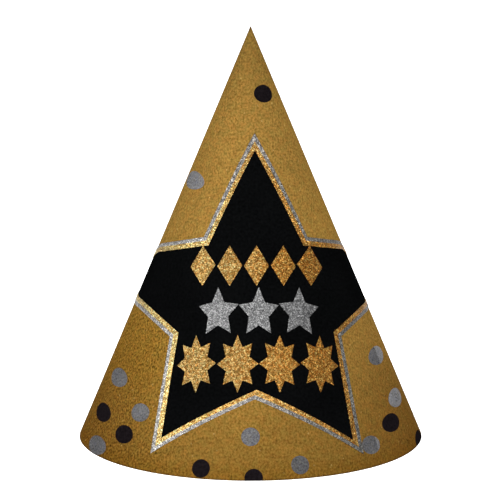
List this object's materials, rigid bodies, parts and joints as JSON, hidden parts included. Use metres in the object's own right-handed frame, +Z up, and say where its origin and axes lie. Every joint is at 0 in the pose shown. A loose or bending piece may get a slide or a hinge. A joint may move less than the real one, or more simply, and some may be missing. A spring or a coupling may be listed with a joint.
{
  "type": "party hat",
  "caption": "Cone party hat of gold-faced board with a lapped back seam, a black star edged in gold and silver glitter, and black and silver confetti dots.",
  "frame": {"origin": "centre of the rim, in the plane that the hat stands on", "axes": "+Z up the cone's axis to its tip, -Y out of the front at the star, +X to the right of someone looking at the front"},
  "size_m": [0.1468, 0.1475, 0.177],
  "materials": {
    "board": "uncoated white board, matte",
    "gold_paper": "metallic gold paper, fine mottled grain, satin",
    "glue": "dried glue, translucent",
    "black_print": "black film, satin",
    "gold_glitter": "coarse gold glitter",
    "silver_glitter": "coarse silver glitter",
    "silver_foil": "silver-grey film, satin"
  },
  "bodies": {
    "root": {"cone_board": "board", "gold_facing": "gold_paper", "seam_glue_strip": "glue", "star_black_film": "black_print", "star_gold_border": "gold_glitter", "star_silver_border": "silver_glitter", "upper_ornaments_gold": "gold_glitter", "middle_ornaments_silver": "silver_glitter", "lower_ornaments_gold": "gold_glitter", "black_confetti_dots": "black_print", "silver_confetti_dots": "silver_foil"}
  },
  "joints": []
}
